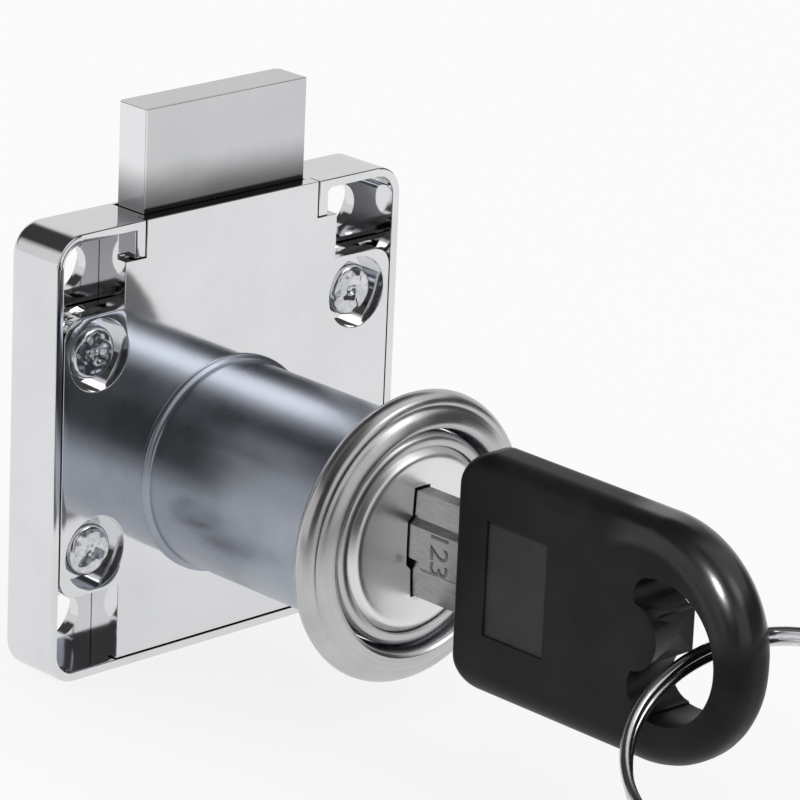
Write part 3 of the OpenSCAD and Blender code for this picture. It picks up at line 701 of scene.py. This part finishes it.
def makeSplitRing(s):  # a flat coil, a rise over twice the gap's angle, and a second flat coil
    form = bmesh.new()
    bmesh.ops.create_circle(form, segments=s["wireSides"], radius=s["wire"], cap_ends=True)
    gap = math.radians(s["gap"])
    upright, start = Matrix.Rotation(math.pi / 2, 3, "X"), Matrix.Rotation(gap, 3, "Z")
    bmesh.ops.rotate(form, cent=(0, 0, 0), matrix=upright, verts=form.verts[:])
    bmesh.ops.translate(form, vec=(s["radius"], 0, -s["pitch"] / 2), verts=form.verts[:])
    bmesh.ops.rotate(form, cent=(0, 0, 0), matrix=start, verts=form.verts[:])
    end = form.faces[:] + form.edges[:] + form.verts[:]
    flat = (2 * math.pi - 2 * gap, s["flatSteps"], 0.0)
    for angle, steps, rise in (flat, (2 * gap, s["riseSteps"], s["pitch"]), flat):
        made = bmesh.ops.spin(form, geom=end, cent=(0, 0, 0), axis=(0, 0, 1), dvec=(0, 0, rise / steps),
                              angle=angle, steps=steps, use_merge=False)
        end = made["geom_last"]
    caps = [f for f in form.faces if len(f.verts) > 4]
    for inner in caps[1:-1]:
        form.faces.remove(inner)
    bmesh.ops.remove_doubles(form, verts=form.verts[:], dist=tiny)
    bmesh.ops.recalc_face_normals(form, faces=form.faces[:])
    place = Matrix.Translation(s["seat"])
    for angle, axis in ((-s["turn"], "Z"), (s["slope"], "Y"), (s["roll"], "X")):
        place = place @ Matrix.Rotation(math.radians(angle), 4, axis)
    place = place @ Matrix.Translation((s["radius"], 0, 0))
    bmesh.ops.transform(form, matrix=place, verts=form.verts[:])
    return finished(form, "wire_ring", "ring", ["split_ring"], "split_ring", angle=50,
                    weighted=False)


makeCase(caseSettings)
makePlate(plateSettings)
makeBarrel(barrelSettings)
makeTrimRing(ringSettings)
makeBolt(boltSettings)
makePlug(plugSettings)
makeRivets(rivetSettings)
makeBlade(bladeSettings)
makeFigures(figureSettings)
makeHead(headSettings)
makeSplitRing(splitSettings)

numbers = range(1, 6)
springs = [f"wafer_spring_{i}" for i in numbers]
keptNodes = {"inner_steel": ["drive_pin", "plug_clip", "key_hinge_pin", *springs],
             "wafers": [f"wafer_{i}" for i in numbers]}
for finish, names in keptNodes.items():
    for name in names:
        for materialSlot in frame["nodes"][name].material_slots:
            materialSlot.material = finishes[finish]
print("kept CAD nodes dressed")

floorSettings = {
    "height": -16.62, "size": 4000.0, "tone": 0.95, "rough": 0.9,
    "toCamera": 0.82, "cameraTone": 1.0,  # the share and strength of the white that the camera sees
    "toMirror": 0.85, "mirrorTones": (0.85, 0.3),
    "mirrorWay": (-0.67, -0.74), "mirrorEnds": (40.0, 140.0)}
lampSettings = [
    {"size": (260.0, 260.0), "power": 0.4, "spot": (304.0, -544.0, 496.0)},
    {"size": (170.0, 170.0), "power": 6.0, "spot": (-410.0, -380.0, 452.0), "onto": "head_shell"}]
# The room's dark parts are bounded by the direction's components. Each pair is the start and
# the end of a soft step.
roomSettings = {
    "plain": 0.8, "light": 0.74, "dark": 0.045, "frontDark": 0.06, "leftDim": 0.7, "cameraDark": 0.06,
    "back": (-0.1, 0.2),  # y
    "overhead": (0.54, 0.68),  # z
    "flank": ((0.1, 0.3), (0.0, 0.2)),  # x, falling, and z
    "left": ((-0.6, -0.45), (0.5, 0.6)),  # x and z, both falling
    "frontRight": ((0.42, 0.54), (0.42, 0.52)),  # x, and z, falling
    "frontTop": ((-0.02, 0.12), (0.45, 0.6)),  # x, falling, and z
    "camera": (-0.67, -0.70, 0.25), "cameraEdge": (0.86, 0.94)}


def makeFloor(s):
    form = bmesh.new()
    bmesh.ops.create_grid(form, x_segments=1, y_segments=1, size=s["size"] / 2 * mm)
    bmesh.ops.translate(form, vec=(0, 0, s["height"] * mm), verts=form.verts[:])
    floor = spare(form, "floor")
    tone = s["tone"]
    shader = Shader("paleFloor", Base_Color=(tone, tone, tone, 1), Roughness=s["rough"],
                    Specular_IOR_Level=0.0)
    seen = shader.node("ShaderNodeLightPath", {}, (), "Is Camera Ray")
    mirrored = shader.node("ShaderNodeLightPath", {}, (), "Is Glossy Ray")
    x, y, z = shader.parts(shader.place())
    across, along = s["mirrorWay"]
    # in mirrors the floor dims toward the camera
    mirrorTone = shader.spread(x * across + y * along, s["mirrorEnds"], s["mirrorTones"])
    strength = seen * s["cameraTone"] + mirrored * mirrorTone
    glow = shader.node("ShaderNodeEmission", {}, {"Strength": strength})
    share = seen * s["toCamera"] + mirrored * s["toMirror"]
    plain = Value(shader, shader.surface.outputs[0])
    both = shader.node("ShaderNodeMixShader", {}, {0: share, 1: plain, 2: glow})
    shader.tree.links.new(both.socket, shader.tree.nodes["Material Output"].inputs["Surface"])
    floor.data.materials.append(shader.material)


class Room(Shader):  # the same sums in the world's shader
    def __init__(self, name):
        self.world = bpy.data.worlds.new(name)
        self.world.use_nodes = True
        self.tree = self.world.node_tree
        self.surface = self.tree.nodes["Background"]


def makeWorld(s):  # pale, with the studio's dark parts where polished metal looks for them
    room = Room("studio")
    direction = room.node("ShaderNodeTexCoord", {}, (), "Generated")
    x, y, z = room.parts(direction)
    toCamera = room.node("ShaderNodeVectorMath", {"operation": "DOT_PRODUCT"}, (direction, s["camera"]),
                         "Value")
    back = room.between(y, *s["back"])
    above = room.between(z, *s["overhead"])
    flank = room.falling(x, *s["flank"][0]) * room.between(z, *s["flank"][1])
    shaded = back * (1.0 - (1.0 - above) * (1.0 - flank))
    tone = s["light"] + shaded * (s["dark"] - s["light"])
    right = room.between(x, *s["frontRight"][0]) * room.falling(z, *s["frontRight"][1])
    top = room.falling(x, *s["frontTop"][0]) * room.between(z, *s["frontTop"][1])
    shaded = (1.0 - back) * (1.0 - (1.0 - right) * (1.0 - top))
    tone = tone + shaded * (s["frontDark"] - tone)
    corner = back * room.falling(x, *s["left"][0]) * room.falling(z, *s["left"][1])
    tone = tone + corner * (s["leftDim"] - tone)
    tone = tone * room.spread(toCamera, s["cameraEdge"], (1.0, s["cameraDark"]))
    mirrored = room.node("ShaderNodeLightPath", {}, (), "Is Glossy Ray")
    seen = room.node("ShaderNodeLightPath", {}, (), "Is Camera Ray")
    plain = s["plain"] + (1.0 - s["plain"]) * seen
    shade = plain + mirrored * (tone - plain)
    room.tree.links.new(shade.socket, room.surface.inputs["Strength"])
    room.surface.inputs["Color"].default_value = (1, 1, 1, 1)
    bpy.context.scene.world = room.world


def makeLamp(s):
    data = bpy.data.lights.new("softLamp", "AREA")
    data.shape, data.energy = "RECTANGLE", s["power"]
    data.size, data.size_y = [side * mm for side in s["size"]]
    lamp = bpy.data.objects.new("softLamp", data)
    bpy.context.scene.collection.objects.link(lamp)
    lamp.location = Vector(s["spot"]) * mm
    lamp.rotation_euler = lamp.location.to_track_quat("Z", "Y").to_euler()
    if "onto" in s:  # a highlight for one piece alone
        lit = bpy.data.collections.new("highlit")
        lit.objects.link(bpy.data.objects[s["onto"]])
        lamp.light_linking.receiver_collection = lit


makeFloor(floorSettings)
makeWorld(roomSettings)
for settings in lampSettings:
    makeLamp(settings)
print("studio set")
